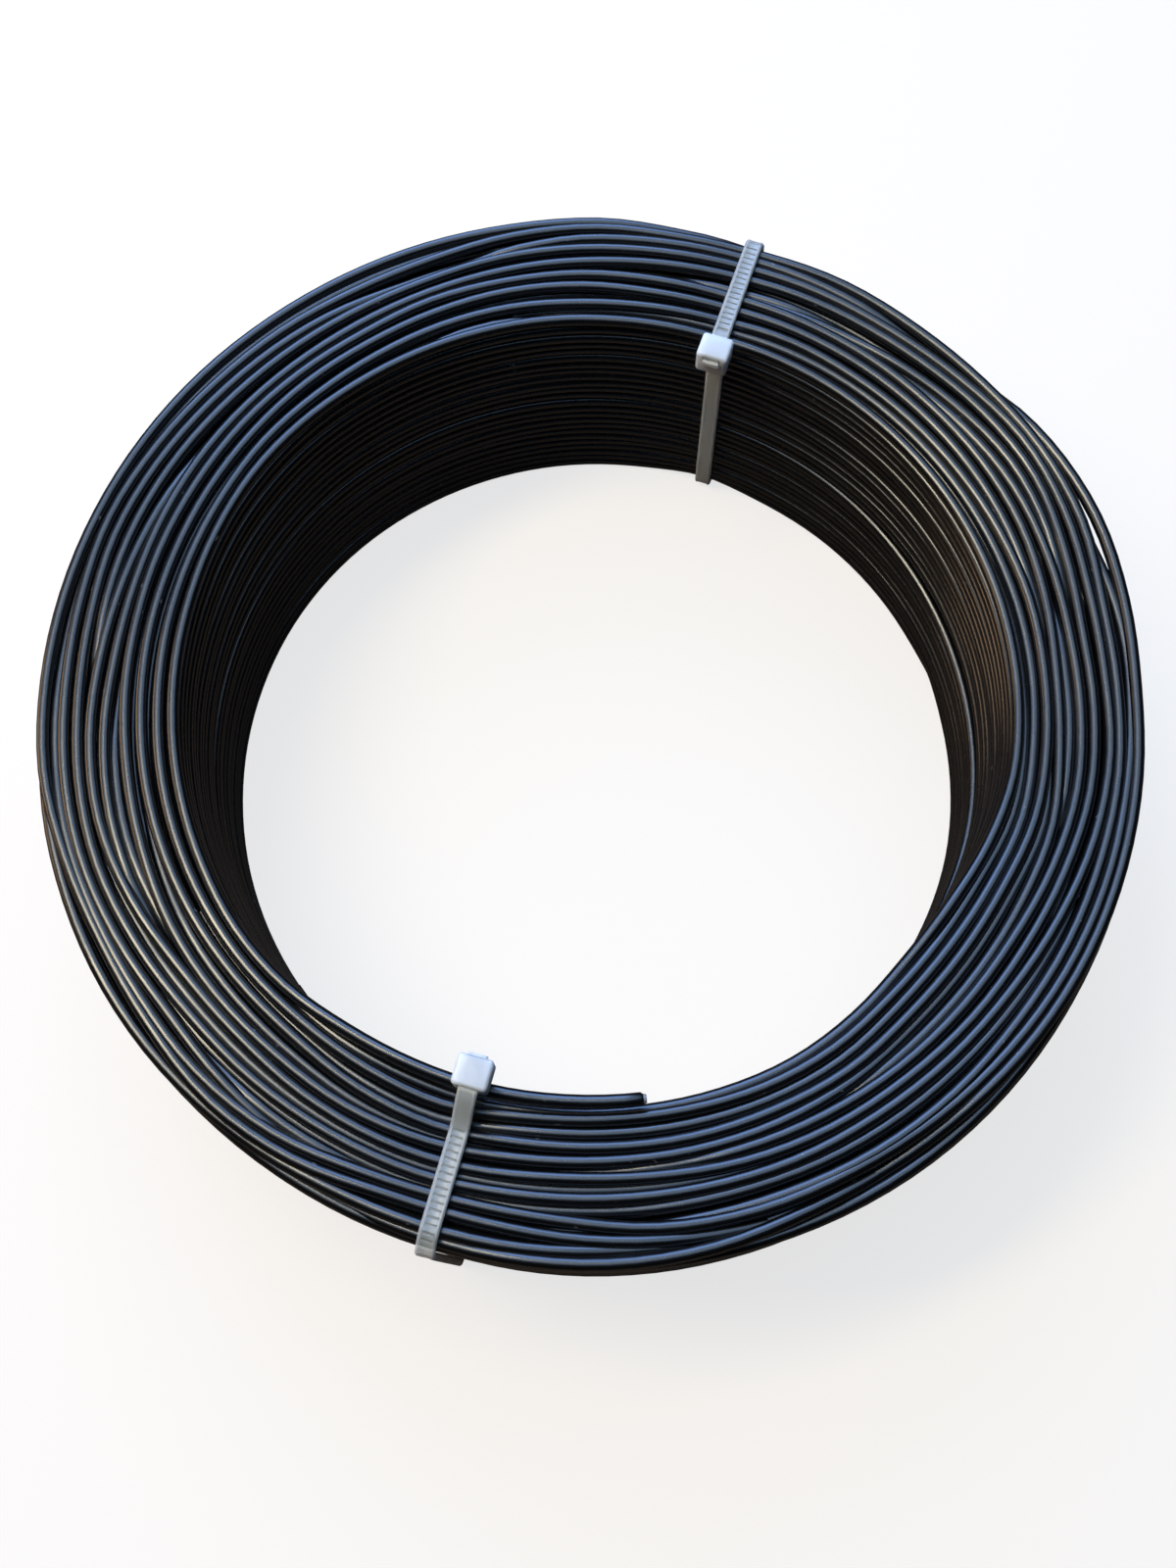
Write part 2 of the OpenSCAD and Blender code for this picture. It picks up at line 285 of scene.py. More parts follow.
# %% Runs of the outer turns
OUTER_RUNS = [
    (-112, [70.9, 71.6, 71.0, 70.3, 70.9, 71.6, 71.8, 71.8, 72.2,
            72.8, 72.5, 72.2, 72.1, 71.8, 72.1, 73.0, 73.4, 72.8,
            72.8, 73.1, 72.8, 72.8, 73.0, 72.5, 71.0, 70.8, 71.0,
            70.8, 70.8, 70.8, 71.2, 71.4, 71.3, 71.3, 71.6],
     [(0, -1.9), (9, -1.6), (15, -0.3), (20, 0), (310, 0), (318, -0.2), (328, -0.7), (336, -1.5),
      (340, -1.8)]),
    (48, [72.9, 73.3, 74.3, 74.7, 74.0, 73.3, 73.4, 73.5, 73.6, 73.6, 73.5, 73.6, 73.8],
     [(0, -1.9), (10, -1.3), (17, -0.2), (22, 0), (96, 0), (104, -0.9), (112, -1.6), (120, -1.9)]),
    (35, [71.9, 72.2, 72.6, 73.0, 72.6, 72.3, 72.3, 72.3, 72.2,
          72.1, 72.0, 72.1, 71.7, 70.5, 70.1, 70.6, 71.9, 72.3,
          72.0, 72.2, 72.8, 73.0, 73.0, 73.3, 73.5, 73.5, 73.4,
          73.3, 73.2, 73.2, 73.8, 73.9],
     [(0, -3.2), (10, -2.0), (18, -1.1), (26, -0.7), (38, -0.7), (50, -0.3), (55, 0), (190, 0),
      (200, -0.2), (210, -0.6), (225, -1.1), (270, -0.8), (292, -0.8), (305, -1.6), (310, -1.8)]),
    (-72, [73.8, 73.4, 72.7, 71.9, 71.9, 73.2, 73.7, 73.0, 72.8,
           73.5, 74.5, 74.6, 74.6, 74.6, 74.6, 74.6, 74.5, 74.5,
           74.5, 74.4, 74.4, 73.8, 73.5, 73.3],
     [(0, -1.9), (8, -0.8), (14, 0), (200, 0), (212, -0.6), (222, -1.3), (230, -1.8)]),
    (-60, [73.6, 74.0, 75.0, 75.5, 75.4, 75.0, 74.6],
     [(0, -1.8), (9, -0.8), (14, -0.2), (20, 0), (36, 0), (48, -0.9), (56, -1.7), (60, -1.9)]),
    (-78, [74.0, 74.0, 74.1, 74.0, 74.0, 74.5, 74.8, 74.9, 74.9, 74.9, 74.8],
     [(0, -1.8), (9, -0.7), (15, -0.1), (30, 0), (38, -0.5), (50, -1.1), (70, -0.8), (85, -1.1),
      (100, -1.8)]),
]
print("Outer runs:", len(OUTER_RUNS))

# %% [markdown]
# ## From runs to strands
# A strand could be swept as a mesh, but a curve with a round bevel is what Blender has for it: the route
# stays readable, and the section is a single number. Each run becomes one spline. The bevel is set to 1, so
# each point's own radius is the strand's radius there, and a smaller one narrows the cut end.

# %% Lay a run
RUN_STEP = 10


def run_points(start, radii, dips):
    points = []
    count = int((len(radii) - 1) * RUN_STEP / POINT_STEP)
    for i in range(count + 1):
        gone = i * POINT_STEP
        angle = start - gone
        rise = eased_height(dips, gone)
        height = TOP_LINE + rise - TOP_NIP * nip(angle, TOP_NIP_W) * (1 - ease(rise))
        points.append(on_winding(angle, smooth_value(radii, gone / RUN_STEP), height))
    return points


def strand_piece(name, routes, sides=12):
    data = bpy.data.curves.new(name, "CURVE")
    data.dimensions = "3D"
    data.twist_mode = "Z_UP"
    data.bevel_depth = 1
    data.bevel_resolution = (sides - 4) // 2
    data.use_fill_caps = True
    for route in routes:
        spline = data.splines.new("POLY")
        spline.points.add(len(route) - 1)
        for point, place in zip(spline.points, route):
            point.co = (*place, 1)
            point.radius = STRAND_R * MM
    piece = bpy.data.objects.new(name, data)
    scene.collection.objects.link(piece)
    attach(piece, "root")
    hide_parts("coil")
    return piece


top_routes = [run_points(*run) for run in [SECOND] + INNER_RUNS + MIDDLE_RUNS + OUTER_RUNS]
top_turns = strand_piece("top_turns", top_routes, sides=14)
print("Top turns:", len(top_routes), "runs,", sum(len(route) for route in top_routes), "points")

# %% [markdown]
# ## The bore wall
# The innermost turn goes on down the bore as a helix. It climbs down by one strand in a short stretch of
# each turn, where the winder moved on, and runs level in between. The steps are not all alike: the top
# turns have slipped apart, and the wall has a wider gap half-way down, where one turn sags into the bore. A
# sum of slow waves that never repeats gives each turn its own slight wander.

# %% Bore wall
WALL_START, FIRST_DROP = -145, 2.1
CLIMB_START = 0.84
WALL_WANDER, LOOSE_SAG = 0.10, 0.7
LOOSE_TURN = (12.55, 0.22)
WALL_STEPS = [1.95, 1.75, 1.72, 1.7, 1.7, 1.7, 1.7, 1.7, 1.7, 1.72, 2.05, 1.85] + [1.687] * 10


def wander(turns, seed):
    waves = ((2.31, 0.5), (3.73, 0.3), (5.17, 0.2))
    return sum(size * math.sin(rate * turns * math.tau + seed * (1 + rate)) for rate, size in waves)


def level_at(steps, turns):
    whole = min(int(turns), len(steps) - 1)
    climb = ease((turns - whole - CLIMB_START) / (1 - CLIMB_START))
    return sum(steps[:whole]) + steps[whole] * climb


def floor_lift(angle, height):
    return FLOOR_NIP * nip(angle, FLOOR_NIP_W) * math.exp(-max(height - LOW_LINE, 0) / FLOOR_NIP_H)


def slack(turns, loose):
    middle, half_l = loose
    return ease(1 - abs(turns - middle) / half_l)


def wall_points(start, radius_at, steps, first_drop, seed, sway, loose=(-1, 1)):
    points = []
    for i in range(int(len(steps) * 360 / POINT_STEP)):
        turns = i * POINT_STEP / 360
        angle = start - 360 * turns
        sag = LOOSE_SAG * slack(turns, loose)
        height = TOP_LINE - first_drop - level_at(steps, turns) + WALL_WANDER * wander(turns, seed)
        height += floor_lift(angle, height) - sag
        radius = radius_at(angle, height) + sway * wander(turns, seed + 4) - sag
        points.append(on_winding(angle, radius, height))
    return points


first_turn = run_points(*INNERMOST)
bore_wall = wall_points(WALL_START - POINT_STEP, inner_radius, WALL_STEPS, FIRST_DROP, seed=1, sway=0.14,
                        loose=LOOSE_TURN)
print("Bore wall:", len(bore_wall), "points, lowest at", round(bore_wall[-1].z / MM, 2), "mm")

# %% [markdown]
# The free end was snipped off, so the strand narrows there. A flat cap would look like a model's end, so a
# short second spline makes the pinched tip, which later gets a pale painted highlight for the glint on its
# cut face.

# %% Cut end of the strand
NARROWING = 0.13
CUT_SHARE = 0.72
TIP_L, TIP_SHARES = 0.4, (0.75, 0.6)

first_turn.insert(1, first_turn[0].lerp(first_turn[1], NARROWING))
bore_turns = strand_piece("bore_turns", [first_turn + bore_wall])
bore_turns.data.splines[0].points[0].radius *= CUT_SHARE
tip = first_turn[0] + (first_turn[0] - first_turn[1]).normalized() * TIP_L * MM
pinched = bore_turns.data.splines.new("POLY")
pinched.points.add(1)
for point, spot, share in zip(pinched.points, (first_turn[0], tip), TIP_SHARES):
    point.co = (*spot, 1)
    point.radius = STRAND_R * MM * share
print("Free end and first turn:", len(first_turn), "points")

# %% [markdown]
# ## The outer wall
# The outer wall is hidden from the photo's camera but not from other views, so it gets the same helix, laid
# against the outer ring, from just under the rim down to the underside.

# %% Outer wall
OUTER_STEPS = [1.748] * 22
OUTER_START = -30
outer_wall = wall_points(OUTER_START, outer_radius, OUTER_STEPS, STRAND, seed=7, sway=0.18)
outer_turns = strand_piece("outer_turns", [outer_wall])
print("Outer wall:", len(outer_wall), "points, lowest at", round(outer_wall[-1].z / MM, 2), "mm")

# %% [markdown]
# ## The underside
# At the end of each layer the strand steps out to the next one and climbs back up, so the turns of the
# underside come in pairs. Each pair is one run of two turns with a step between them, and both its ends
# rise into the winding. The steps are spread round the coil.

# %% Underside
STEP_ANGLES = [20, 250, 120, 330, 175]
PAIR_L, STEP_AT, STEP_L = 740, 355, 30
END_L, END_RISE = 14, 1.6
UNDER_SWAY = 0.1


def pair_points(first_layer, start):
    points = []
    count = int(PAIR_L / POINT_STEP)
    for i in range(count + 1):
        gone = i * POINT_STEP
        angle = start - gone
        layer = first_layer + ease((gone - STEP_AT) / STEP_L)
        tucked = max(1 - gone / END_L, 1 - (PAIR_L - gone) / END_L, 0)
        height = LOW_LINE + END_RISE * ease(tucked)
        radius = layer_radius(angle, layer, height) + UNDER_SWAY * wander(gone / 360, first_layer + 2)
        points.append(on_winding(angle, radius, height + floor_lift(angle, LOW_LINE)))
    return points


under_routes = [pair_points(2 * pair, start) for pair, start in enumerate(STEP_ANGLES)]
under_turns = strand_piece("under_turns", under_routes)
print("Underside:", len(under_routes), "pairs of turns")

# %% [markdown]
# ## The hidden turns
# Between the outer turns one looks a strand's thickness deeper, and sees more turns. They are the next row
# all round the winding. A circle spun round the axis makes each of them, and a plain ring spun in the same
# mesh stands for the hundreds of turns behind. Afterwards every point moves with the winding's outline, so
# the row follows the turns above it.

# %% Hidden turns
ROW_DEPTH = 1.72
LAYER_STEP = 1.87
FILLING_LAYER, FILLING_Z = 4.5, 21
FILLING_HALF_W, FILLING_HALF_H = 7.2, 18.2
RING_SIDES, RING_STEPS = 8, 96
hidden_places = [(layer, z) for layer in range(1, 9)
                 for z in (LOW_LINE + ROW_DEPTH, TOP_LINE - ROW_DEPTH)]
hidden_places += [(layer, LOW_LINE + turn * STRAND) for layer in (0.9, 8.1) for turn in range(2, 22)]

hidden = bmesh.new()
upright = Matrix.Rotation(math.radians(90), 4, "X")
for layer, z in hidden_places:
    spot = Matrix.Translation((FIRST_LAYER_R + LAYER_STEP * layer, 0, z)) @ upright
    bmesh.ops.create_circle(hidden, segments=RING_SIDES, radius=STRAND_R, matrix=spot)
spot = Matrix.Translation((FIRST_LAYER_R + LAYER_STEP * FILLING_LAYER, 0, FILLING_Z)) @ upright
filling = spot @ Matrix.Diagonal((FILLING_HALF_W, FILLING_HALF_H, 1, 1))
bmesh.ops.create_grid(hidden, x_segments=1, y_segments=1, size=1, matrix=filling)
bmesh.ops.delete(hidden, geom=hidden.faces[:], context="FACES_ONLY")
bmesh.ops.spin(hidden, geom=hidden.verts[:] + hidden.edges[:], cent=(0, 0, 0), axis=(0, 0, 1),
               angle=math.tau, steps=RING_STEPS, use_merge=True)
bmesh.ops.recalc_face_normals(hidden, faces=hidden.faces)
print("Hidden turns:", len(hidden_places), "rings,", len(hidden.faces), "faces")

# %% Fit the hidden turns to the outline
for vert in hidden.verts:
    angle = math.degrees(math.atan2(vert.co.y, vert.co.x))
    radius = math.hypot(vert.co.x, vert.co.y)
    layer = (radius - FIRST_LAYER_R) / LAYER_STEP
    vert.co = on_winding(angle, layer_radius(angle, layer, vert.co.z), vert.co.z)


def mesh_piece(name, mesh, node):
    data = bpy.data.meshes.new(name)
    mesh.to_mesh(data)
    mesh.free()
    data.shade_smooth()
    piece = bpy.data.objects.new(name, data)
    scene.collection.objects.link(piece)
    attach(piece, "root")
    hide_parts(node)
    return piece


hidden_turns = mesh_piece("hidden_turns", hidden, "coil")
print("Hidden turns:", tuple(round(side, 4) for side in hidden_turns.dimensions), "m across")

# %% [markdown]
# ## The path of a strap
# A strap is pulled tight, so in its own upright plane it follows the shortest loop round the turns that it
# holds. That loop is known: the hull of the points where the strands pass through the plane, pushed out by
# the strand's radius. So the strap can be fitted to the turns as they lie, with no guesswork. The free end
# counts as if it lay level with the top turns, because the front strap passes inside it, not over it.

# %% Loop of a strap
strap_plane_routes = top_routes + [first_turn + bore_wall, outer_wall] + under_routes


def crossings(tie_angle):
    out = Vector((math.cos(math.radians(tie_angle)), math.sin(math.radians(tie_angle)), 0))
    side = Vector((-out.y, out.x, 0))
    found = []
    for route in strap_plane_routes:
        for a, b in zip(route, route[1:]):
            da, db = a.dot(side), b.dot(side)
            if da * db <= 0 and da != db and a.dot(out) > 0:
                point = a.lerp(b, da / (da - db)) / MM
                found.append(Vector((point.dot(out), min(point.z, TOP_LINE - TOP_NIP))))
    return found


def half_hull(points):
    chain = []
    for point in points:
        while len(chain) > 1 and (chain[-1] - chain[-2]).cross(point - chain[-2]) <= 1e-6:
            chain.pop()
        chain.append(point)
    return chain[:-1]


def strap_hull(tie_angle):
    points = sorted(crossings(tie_angle), key=lambda point: (point.x, point.y))
    loop = half_hull(points) + half_hull(points[::-1])
    first = max(range(len(loop)), key=lambda i: loop[i].y - loop[i].x)
    return loop[first:] + loop[:first]


hulls = {name: strap_hull(angle) for name, angle in TIE_ANGLES.items()}
for name, loop in hulls.items():
    print(name, "bends round", len(loop), "turns, head over", tuple(round(v, 2) for v in loop[0]))

# %% [markdown]
# ## The strap
# The strap of a small tie is a flat band with rounded edges and two rails. One section of twelve points is
# extruded along the path, and the points of the track between the rails sink and rise as it goes, which
# models the teeth as well. First the two heads get their places, because the strap runs through them.

# %% Head places
STRAP_T, STRAP_GAP = 1.0, 0.1
STRAP_REACH = STRAND_R + STRAP_GAP + STRAP_T / 2
HEAD_L, HEAD_BELOW, STUB_L = 4.0, 2.2, 0.4
BACK_HEAD_IN = STRAND_R + 0.25
FRONT_HEAD = Vector((56.66, 45.29))
FRONT_RISE_L = 5.0

back_corner = hulls["tie_back"][0]
head_corners = {"tie_back": back_corner + Vector((-BACK_HEAD_IN, STRAND_R + STRAP_GAP)),
                "tie_front": FRONT_HEAD}
rise_lengths = {"tie_back": BACK_HEAD_IN, "tie_front": FRONT_RISE_L}
print("Heads at", {name: tuple(round(v, 2) for v in corner) for name, corner in head_corners.items()})

# %% [markdown]
# The route starts in the bottom of the head, goes down the bore wall, out under the coil, up the outer wall
# and back over the top. The back head hangs in the bore, level with the top turns, so its strap runs
# straight in. The front head sits on the free end, so its strap lifts off the turns and rises to it in an
# S-shaped bend.

# %% Bends of the strap
BEND_STEP = 12
RISE_PARTS = 12


def bend_round(corner, before, after):
    start = math.atan2(before.y, before.x)
    swing = (math.atan2(after.y, after.x) - start) % math.tau
    count = max(2, math.ceil(swing / math.radians(BEND_STEP)))
    turned = [start + swing * k / count for k in range(count + 1)]
    normals = [Vector((math.cos(bend), math.sin(bend))) for bend in turned]
    return [(corner + normal * STRAP_REACH, normal) for normal in normals]


def rise_to_head(leave, entry):
    route = []
    for k in range(RISE_PARTS + 1):
        t = k / RISE_PARTS
        point = Vector((leave.x + (entry.x - leave.x) * t, leave.y + (entry.y - leave.y) * ease(t)))
        slope = 6 * t * (1 - t) * (entry.y - leave.y) / (leave.x - entry.x)
        route.append((point, Vector((slope, 1)).normalized()))
    return route


print("A square corner has", len(bend_round(Vector((0, 0)), Vector((1, 0)), Vector((0, 1)))), "points")

# %% Route of the strap
TOP_BAND_H = 9
LEAVE_ROOM = 1


def strap_route(loop, head, rise_l):
    runs = [(after - here).normalized() for here, after in zip(loop, loop[1:] + loop[:1])]
    normals = [Vector((run.y, -run.x)) for run in runs]
    start = loop[0] + normals[0] * STRAP_REACH
    route = [(start, normals[0])]
    if head.y - HEAD_BELOW > start.y:
        route.insert(0, (Vector((start.x, head.y - HEAD_BELOW + STRAP_T)), normals[0]))
    for i in range(1, len(loop)):
        if loop[i].y < TOP_LINE - TOP_BAND_H or loop[i].x > head.x + rise_l + LEAVE_ROOM:
            route += bend_round(loop[i], normals[i - 1], normals[i])
    entry = head + Vector((0, STRAP_T / 2))
    leave = Vector((head.x + rise_l, max(point.y for point in loop) + STRAP_REACH))
    route += rise_to_head(leave, entry)
    route.append((entry - Vector((HEAD_L + STUB_L, 0)), Vector((0, 1))))
    return route


strap_routes = {name: strap_route(loop, head_corners[name], rise_lengths[name])
                for name, loop in hulls.items()}
print("Straps:", {name: len(route) for name, route in strap_routes.items()}, "points")

# %% [markdown]
# Between the rails, on the side that shows, runs a ladder of teeth. It starts where the strap has turned on
# to the outer wall and ends short of the head. The strap is smooth from there on, and on the bore wall,
# where the part next to the head lies.

# %% Stations along the strap
TOOTH_PITCH = 0.9
TOOTH_MARKS = ((0, 0.05), (0.60, 0.05), (0.64, 0.32), (0.86, 0.32))
WALL_TRACK, HEAD_TRACK = 0.08, 0.06
ON_OUTER_WALL = 0.98
SMOOTH_L, SMOOTH_RISES = 2.4, 1.2


def stations(route, rise_l):
    lengths = [0]
    for (a, _), (b, _) in zip(route, route[1:]):
        lengths.append(lengths[-1] + (b - a).length)
    teeth_start = next(s for s, (_, normal) in zip(lengths, route) if normal.x > ON_OUTER_WALL)
    teeth_end = lengths[-1] - STUB_L - HEAD_L - max(rise_l * SMOOTH_RISES, SMOOTH_L)
    marks = [(s, WALL_TRACK) for s in lengths if s < teeth_start]
    tooth = teeth_start
    while tooth < teeth_end:
        marks += [(tooth + ahead, depth) for ahead, depth in TOOTH_MARKS]
        tooth += TOOTH_PITCH
    marks += [(s, HEAD_TRACK) for s in lengths if s > tooth]
    return [(*at_length(route, lengths, s), depth) for s, depth in marks]


def at_length(route, lengths, s):
    i = max(k for k in range(len(lengths) - 1) if lengths[k] <= s + 1e-9)
    t = (s - lengths[i]) / max(lengths[i + 1] - lengths[i], 1e-9)
    point = route[i][0].lerp(route[i + 1][0], t)
    return point, route[i][1].lerp(route[i + 1][1], t).normalized()


strap_stations = {name: stations(route, rise_lengths[name]) for name, route in strap_routes.items()}
print("Stations:", {name: len(marks) for name, marks in strap_stations.items()})

# %% Extrude the strap
def in_tie_plane(tie_angle, point, across):
    turn = math.radians(tie_angle)
    out = Vector((math.cos(turn), math.sin(turn), 0))
    side = Vector((-out.y, out.x, 0))
    return (out * point.x + side * across + Vector((0, 0, point.y))) * MM


def strap_section(tie_angle, point, normal, depth):
    track = 0.5 - depth
    outline = [(-1.05, -0.5), (-1.25, -0.3), (-1.25, 0.3), (-1.05, 0.5), (-0.82, 0.5), (-0.76, track),
               (0.76, track), (0.82, 0.5), (1.05, 0.5), (1.25, 0.3), (1.25, -0.3), (1.05, -0.5)]
    return [in_tie_plane(tie_angle, point + normal * lift, across) for across, lift in outline]


def extrude_strap(mesh, tie_angle, marks):
    ring = [mesh.verts.new(place) for place in strap_section(tie_angle, *marks[0])]
    edges = [mesh.edges.new((a, b)) for a, b in zip(ring, ring[1:] + ring[:1])]
    bmesh.ops.edgeloop_fill(mesh, edges=edges)
    for mark in marks[1:]:
        grown = bmesh.ops.extrude_edge_only(mesh, edges=edges)["geom"]
        fresh = {item for item in grown if isinstance(item, bmesh.types.BMVert)}
        edges = [item for item in grown if isinstance(item, bmesh.types.BMEdge)
                 and item.verts[0] in fresh and item.verts[1] in fresh]
        ring = [next(edge.other_vert(vert) for edge in vert.link_edges if edge.other_vert(vert) in fresh)
                for vert in ring]
        for vert, place in zip(ring, strap_section(tie_angle, *mark)):
            vert.co = place
    bmesh.ops.edgeloop_fill(mesh, edges=edges)


tie_meshes = {}
for name, marks in strap_stations.items():
    tie_meshes[name] = bmesh.new()
    extrude_strap(tie_meshes[name], TIE_ANGLES[name], marks)
    print(name, "strap:", len(tie_meshes[name].faces), "faces")

# %% [markdown]
# ## The head
# The head is a small rounded block with a slot through it, and a pawl in the slot that catches the teeth.
# It starts as one flat face. An inset makes the slot's outline in it, the middle is taken out, and the
# frame that is left is extruded along the strap. A bevel rounds the outer edges.

# %% Head of a tie
HEAD_W, HEAD_ABOVE = 4.6, 1.0
HEAD_ROUND, CORNER_ANGLE = 1.3, 0.5
SLOT_W, SLOT_LOW, SLOT_HIGH, SLOT_INSET = 2.74, -0.12, 1.5, 0.8


def head_frame(tie_angle, corner):
    turn = Matrix.Rotation(math.radians(tie_angle), 4, "Z")
    columns = Matrix(((1, 0, 0, corner.x), (0, 0, 1, 0), (0, 1, 0, corner.y), (0, 0, 0, 1)))
    return Matrix.Scale(MM, 4) @ turn @ columns


def head_block(mesh):
    low, high = -HEAD_BELOW, STRAP_T + HEAD_ABOVE
    stand = Matrix.Translation((0, (low + high) / 2, 0)) @ Matrix.Rotation(math.radians(90), 4, "Y")
    face = stand @ Matrix.Diagonal((HEAD_W / 2, (high - low) / 2, 1, 1))
    outline = bmesh.ops.create_grid(mesh, x_segments=1, y_segments=1, size=1, matrix=face)["verts"]
    front = outline[0].link_faces[0]
    bmesh.ops.inset_region(mesh, faces=[front], thickness=SLOT_INSET, use_boundary=True)
    for vert in front.verts:
        vert.co.y = SLOT_HIGH if vert.co.y > STRAP_T / 2 else SLOT_LOW
        vert.co.z = math.copysign(SLOT_W / 2, vert.co.z)
    rim = [near for edge in front.edges for near in edge.link_faces if near != front]
    bmesh.ops.delete(mesh, geom=[front], context="FACES_ONLY")
    grown = bmesh.ops.extrude_face_region(mesh, geom=rim)["geom"]
    moved = [item for item in grown if isinstance(item, bmesh.types.BMVert)]
    bmesh.ops.translate(mesh, verts=moved, vec=(-HEAD_L, 0, 0))
    return outline + moved


def round_head(mesh, verts):
    outer = {vert for vert in verts if vert.is_valid and abs(abs(vert.co.z) - HEAD_W / 2) < 1e-6}
    edges = [edge for edge in mesh.edges if edge.verts[0] in outer and edge.verts[1] in outer
             and edge.calc_face_angle(0) > CORNER_ANGLE]
    bmesh.ops.bevel(mesh, geom=edges, offset=HEAD_ROUND, offset_type="OFFSET", affect="EDGES",
                    segments=5, profile=0.5, material=-1, clamp_overlap=True)


heads = {}
for name in hulls:
    heads[name] = bmesh.new()
    round_head(heads[name], head_block(heads[name]))
    bmesh.ops.recalc_face_normals(heads[name], faces=heads[name].faces)
    print(name, "head:", len(heads[name].faces), "faces")

# %% [markdown]
# The pawl is a small tongue that leans into the slot. Head, pawl and strap are one moulding, so they go
# into one mesh. Each of its points carries a number called thickness for the finish: 0 on the stretch of
# strap that lies over the top end, and 1 on the head and on the stretches along the walls. On the wall
# stretches the 1 is painted light: the pale colour lifts them out of the shade that they lie in.

# %% Pawl and assembly of a tie
PAWL_PLACE, PAWL_SIZE = (-2.55, 1.3, 0), (2.6, 0.5, 2.3)
PAWL_LEAN, PAWL_ROUND = -6, 0.12
BORE_SIDE, OUTER_SIDE = 57.0, 75.8
SHARP_ANGLE = 40


def pawl(mesh):
    lean = Matrix.Rotation(math.radians(PAWL_LEAN), 4, "Z")
    block = Matrix.Translation(PAWL_PLACE) @ lean @ Matrix.Diagonal((*PAWL_SIZE, 1))
    tongue = bmesh.ops.create_cube(mesh, size=1, matrix=block)["verts"]
    edges = list({edge for vert in tongue for edge in vert.link_edges})
    bmesh.ops.bevel(mesh, geom=edges, offset=PAWL_ROUND, offset_type="OFFSET", affect="EDGES", segments=2,
                    profile=0.5, material=-1)


def join_head(mesh, head, seat):
    bmesh.ops.transform(head, matrix=seat, verts=head.verts)
    part = bpy.data.meshes.new("head")
    head.to_mesh(part)
    head.free()
    mesh.from_mesh(part)
    bpy.data.meshes.remove(part)


ties = {}
for name, mesh in tie_meshes.items():
    pawl(heads[name])
    strap_verts = len(mesh.verts)
    join_head(mesh, heads[name], head_frame(TIE_ANGLES[name], head_corners[name]))
    thickness = mesh.verts.layers.float.new("thickness")
    mesh.verts.ensure_lookup_table()
    for i, vert in enumerate(mesh.verts):
        # On the wall stretches the 1 is painted light: the head's white stands in for light that the shade
        # there keeps off.
        on_top_end = i < strap_verts and BORE_SIDE < vert.co.xy.length / MM < OUTER_SIDE
        vert[thickness] = 0 if on_top_end else 1
    bmesh.ops.recalc_face_normals(mesh, faces=mesh.faces)
    piece = mesh_piece(name + "_moulding", mesh, name)
    piece.data.set_sharp_from_angle(angle=math.radians(SHARP_ANGLE))
    ties[name] = piece
    print(name, "moulding:", len(piece.data.polygons), "faces")

# %% [markdown]
# ## The strand's finish
# Extruded filament is a deep satin black. Its shine is broken along the strand by faint ripples from the
# die, a fraction of a millimetre apart, and by rubbed stretches that are duller than the rest. The pattern
# has to run along the strand, so the object coordinates are first turned into a distance round the coil, a
# distance from the axis and a height. Noise that is stretched in that space gives ticks across the strand.
# A helper adds a node and fills its sockets with values or links, which keeps each finish readable.

# %% Node helper
def finish(name):
    material = bpy.data.materials.new(name)
    material.use_nodes = True
    tree = material.node_tree
    return material, tree, tree.nodes["Principled BSDF"]


def add(tree, kind, settings=None, **sockets):
    node = tree.nodes.new(kind)
    for key, value in (settings or {}).items():
        setattr(node, key, value)
    for key, value in sockets.items():
        socket = node.inputs[int(key[1:])] if key[0] == "i" and key[1:].isdigit() else node.inputs[key]
        if isinstance(value, bpy.types.NodeSocket):
            tree.links.new(value, socket)
        else:
            socket.default_value = value
    return node


print("Node helper ready")

# %% Coordinates along the strand
MEAN_R = 0.066
strand_finish, strand_tree, strand_shader = finish("black_filament")
in_object = add(strand_tree, "ShaderNodeTexCoord").outputs["Object"]
centred = add(strand_tree, "ShaderNodeVectorMath", {"operation": "SUBTRACT"}, i0=in_object,
              i1=tuple(bore_middle * MM)).outputs[0]
split = add(strand_tree, "ShaderNodeSeparateXYZ", i0=centred)
angle_round = add(strand_tree, "ShaderNodeMath", {"operation": "ARCTAN2"}, i0=split.outputs["Y"],
                  i1=split.outputs["X"])
way_round = add(strand_tree, "ShaderNodeMath", {"operation": "MULTIPLY"}, i0=angle_round.outputs[0],
                i1=MEAN_R)
flat = add(strand_tree, "ShaderNodeCombineXYZ", i0=split.outputs["X"], i1=split.outputs["Y"])
from_axis = add(strand_tree, "ShaderNodeVectorMath", {"operation": "LENGTH"}, i0=flat.outputs[0])
along = add(strand_tree, "ShaderNodeCombineXYZ", i0=way_round.outputs[0], i1=from_axis.outputs["Value"],
            i2=split.outputs["Z"]).outputs[0]
print("The strand's finish reads", len(strand_tree.nodes), "nodes of coordinates")

# %% Ripples, rubs and dust
DEEP_BLACK, DUST_GREY = (0.0025, 0.0025, 0.0027, 1), (0.09, 0.09, 0.088, 1)


def stretched_noise(tree, vector, scale, detail):
    scaled = add(tree, "ShaderNodeVectorMath", {"operation": "MULTIPLY"}, i0=vector, i1=scale)
    noise = add(tree, "ShaderNodeTexNoise", None, Vector=scaled.outputs[0], Scale=1.0, Detail=detail)
    return noise.outputs["Fac"]


def two_tones(tree, factor, low, high):
    mix = add(tree, "ShaderNodeMix", {"data_type": "RGBA"}, Factor=factor, i6=low, i7=high)
    return mix.outputs[2]


